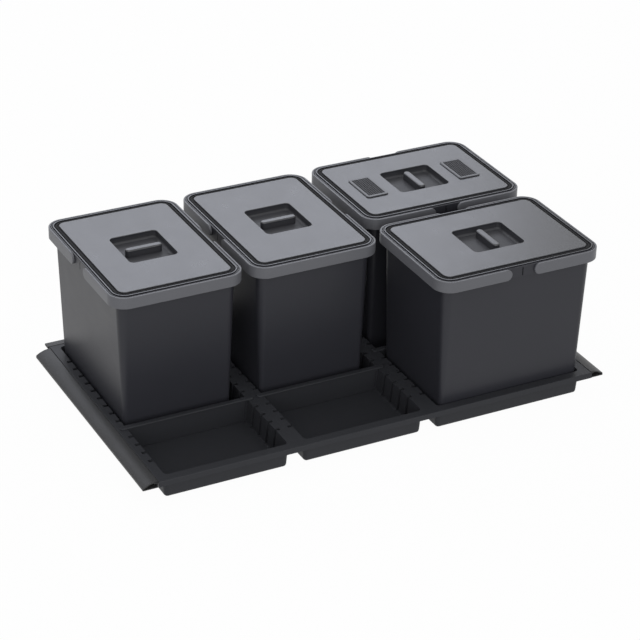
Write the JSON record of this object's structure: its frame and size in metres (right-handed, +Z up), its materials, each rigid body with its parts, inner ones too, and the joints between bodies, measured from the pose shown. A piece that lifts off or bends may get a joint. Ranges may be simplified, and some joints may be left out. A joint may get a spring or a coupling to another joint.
{
  "type": "drawer waste bin insert",
  "caption": "Drawer insert for waste sorting: a toothed base tray with removable dividers holds tapered bins, each with a sealed lid and a pair of folding carrying handles.",
  "frame": {"origin": "middle of the tray's footprint, on the surface that the tray stands on", "axes": "+X to the right along the tray's long side, +Y to the back of the drawer, +Z up"},
  "size_m": [0.8198, 0.4706, 0.2734],
  "materials": {
    "tray_plastic": "fine matte texture",
    "trim_plastic": "fine matte texture",
    "bucket_plastic": "satin",
    "lid_plastic": "fine matte texture",
    "handle_plastic": "fine matte texture",
    "seal_rubber": "matte",
    "mesh_plastic": "fine matte texture",
    "filter_fabric": "charcoal fleece"
  },
  "bodies": {
    "tray": {"tray": "tray_plastic", "side_trim_left": "trim_plastic", "side_trim_right": "trim_plastic", "rear_trim": "trim_plastic"},
    "divider_left": {"divider_left": "tray_plastic"},
    "divider_middle": {"divider_middle": "tray_plastic"},
    "divider_right": {"divider_right": "tray_plastic"},
    "bin_a": {"bucket_a": "bucket_plastic"},
    "lid_a": {"lid_a": "lid_plastic", "lid_seal_a": "seal_rubber"},
    "handle_a_front": {"handle_a_front": "handle_plastic"},
    "handle_a_rear": {"handle_a_rear": "handle_plastic"},
    "bin_b": {"bucket_b": "bucket_plastic"},
    "lid_b": {"lid_b": "lid_plastic", "lid_seal_b": "seal_rubber"},
    "handle_b_front": {"handle_b_front": "handle_plastic"},
    "handle_b_rear": {"handle_b_rear": "handle_plastic"},
    "bin_c": {"bucket_c": "bucket_plastic"},
    "lid_c": {"lid_c": "lid_plastic", "lid_seal_c": "seal_rubber"},
    "handle_c_left": {"handle_c_left": "handle_plastic"},
    "handle_c_right": {"handle_c_right": "handle_plastic"},
    "bin_d": {"bucket_d": "bucket_plastic"},
    "lid_d": {"lid_d": "lid_plastic", "lid_seal_d": "seal_rubber"},
    "handle_d_left": {"handle_d_left": "handle_plastic"},
    "handle_d_right": {"handle_d_right": "handle_plastic"},
    "vent_left": {"vent_cover_left": "mesh_plastic", "charcoal_filter_left": "filter_fabric"},
    "vent_right": {"vent_cover_right": "mesh_plastic", "charcoal_filter_right": "filter_fabric"}
  },
  "joints": [
    {"name": "divider_left_lift", "type": "slide", "parent": "tray", "child": "divider_left", "axis": [0, 0, 1], "range_m": [0, 0.06]},
    {"name": "divider_middle_lift", "type": "slide", "parent": "tray", "child": "divider_middle", "axis": [0, 0, 1], "range_m": [0, 0.06]},
    {"name": "divider_right_lift", "type": "slide", "parent": "tray", "child": "divider_right", "axis": [0, 0, 1], "range_m": [0, 0.06]},
    {"name": "bin_a_lift", "type": "slide", "parent": "tray", "child": "bin_a", "axis": [0, 0, 1], "range_m": [0, 0.32]},
    {"name": "lid_a_lift", "type": "slide", "parent": "bin_a", "child": "lid_a", "axis": [0, 0, 1], "range_m": [0, 0.16]},
    {"name": "handle_a_front_hinge", "type": "hinge", "parent": "bin_a", "child": "handle_a_front", "pos_m": [-0.27375, 0.0456, 0.2601], "axis": [-1, 0, 0], "range_deg": [0, 90]},
    {"name": "handle_a_rear_hinge", "type": "hinge", "parent": "bin_a", "child": "handle_a_rear", "pos_m": [-0.27375, 0.1062, 0.2601], "axis": [1, 0, 0], "range_deg": [0, 90]},
    {"name": "bin_b_lift", "type": "slide", "parent": "tray", "child": "bin_b", "axis": [0, 0, 1], "range_m": [0, 0.32]},
    {"name": "lid_b_lift", "type": "slide", "parent": "bin_b", "child": "lid_b", "axis": [0, 0, 1], "range_m": [0, 0.16]},
    {"name": "handle_b_front_hinge", "type": "hinge", "parent": "bin_b", "child": "handle_b_front", "pos_m": [-0.0375, 0.0456, 0.2601], "axis": [-1, 0, 0], "range_deg": [0, 90]},
    {"name": "handle_b_rear_hinge", "type": "hinge", "parent": "bin_b", "child": "handle_b_rear", "pos_m": [-0.0375, 0.1062, 0.2601], "axis": [1, 0, 0], "range_deg": [0, 90]},
    {"name": "bin_c_lift", "type": "slide", "parent": "tray", "child": "bin_c", "axis": [0, 0, 1], "range_m": [0, 0.32]},
    {"name": "lid_c_lift", "type": "slide", "parent": "bin_c", "child": "lid_c", "axis": [0, 0, 1], "range_m": [0, 0.16]},
    {"name": "handle_c_left_hinge", "type": "hinge", "parent": "bin_c", "child": "handle_c_left", "pos_m": [0.20755, 0.1168, 0.2601], "axis": [0, 1, 0], "range_deg": [0, 90]},
    {"name": "handle_c_right_hinge", "type": "hinge", "parent": "bin_c", "child": "handle_c_right", "pos_m": [0.26815, 0.1168, 0.2601], "axis": [0, -1, 0], "range_deg": [0, 90]},
    {"name": "bin_d_lift", "type": "slide", "parent": "tray", "child": "bin_d", "axis": [0, 0, 1], "range_m": [0, 0.32]},
    {"name": "lid_d_lift", "type": "slide", "parent": "bin_d", "child": "lid_d", "axis": [0, 0, 1], "range_m": [0, 0.16]},
    {"name": "handle_d_left_hinge", "type": "hinge", "parent": "bin_d", "child": "handle_d_left", "pos_m": [0.20755, -0.1238, 0.2601], "axis": [0, 1, 0], "range_deg": [0, 90]},
    {"name": "handle_d_right_hinge", "type": "hinge", "parent": "bin_d", "child": "handle_d_right", "pos_m": [0.26815, -0.1238, 0.2601], "axis": [0, -1, 0], "range_deg": [0, 90]},
    {"name": "vent_left_lift", "type": "slide", "parent": "lid_c", "child": "vent_left", "axis": [0, 0, 1], "range_m": [0, 0.03]},
    {"name": "vent_right_lift", "type": "slide", "parent": "lid_c", "child": "vent_right", "axis": [0, 0, 1], "range_m": [0, 0.03]}
  ]
}
